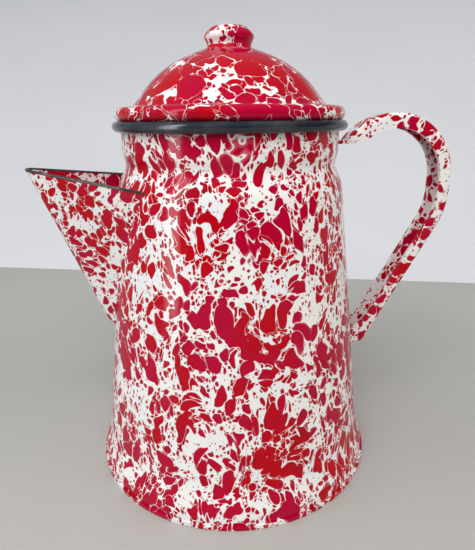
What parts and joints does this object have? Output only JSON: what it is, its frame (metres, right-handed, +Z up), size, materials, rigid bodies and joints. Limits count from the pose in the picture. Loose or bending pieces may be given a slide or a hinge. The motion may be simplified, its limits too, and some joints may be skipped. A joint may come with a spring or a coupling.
{
  "type": "coffee percolator",
  "caption": "Enamelled steel stovetop percolator: flared pot with V-shaped spout and strap handle, lift-off domed lid, and a loose pump, basket and spreader inside.",
  "frame": {"origin": "centre of the foot ring, on the surface the pot stands on", "axes": "+Z up along the pot's axis, spout towards -X, handle towards +X, +Y across"},
  "size_m": [0.2042, 0.1412, 0.2063],
  "materials": {
    "splatter_enamel": "glossy white enamel with crimson splatter",
    "dark_enamel": "glossy blue-black enamel",
    "aluminium_sheet": "satin",
    "steel_disc": "satin"
  },
  "bodies": {
    "pot": {"body_wall": "splatter_enamel", "base_plate": "splatter_enamel", "rim_roll": "dark_enamel", "spout": "splatter_enamel", "handle": "splatter_enamel"},
    "pump": {"pump_tube": "aluminium_sheet", "pump_bell": "aluminium_sheet", "valve_plate": "aluminium_sheet", "tube_stop": "aluminium_sheet"},
    "valve": {"valve_disc": "steel_disc"},
    "basket": {"basket_cup": "aluminium_sheet", "basket_sleeve": "aluminium_sheet"},
    "spreader": {"spreader": "aluminium_sheet"},
    "lid": {"lid_dome": "splatter_enamel", "lid_collar": "splatter_enamel", "knob": "splatter_enamel"}
  },
  "joints": [
    {"name": "pump_lift", "type": "slide", "parent": "pot", "child": "pump", "axis": [0, 0, 1], "range_m": [0, 0.19]},
    {"name": "valve_lift", "type": "slide", "parent": "pump", "child": "valve", "axis": [0, 0, 1], "range_m": [0, 0.0025]},
    {"name": "basket_lift", "type": "slide", "parent": "pump", "child": "basket", "axis": [0, 0, 1], "range_m": [0, 0.085]},
    {"name": "spreader_lift", "type": "slide", "parent": "basket", "child": "spreader", "axis": [0, 0, 1], "range_m": [0, 0.035]},
    {"name": "lid_lift", "type": "slide", "parent": "spreader", "child": "lid", "axis": [0, 0, 1], "range_m": [0, 0.12]}
  ]
}
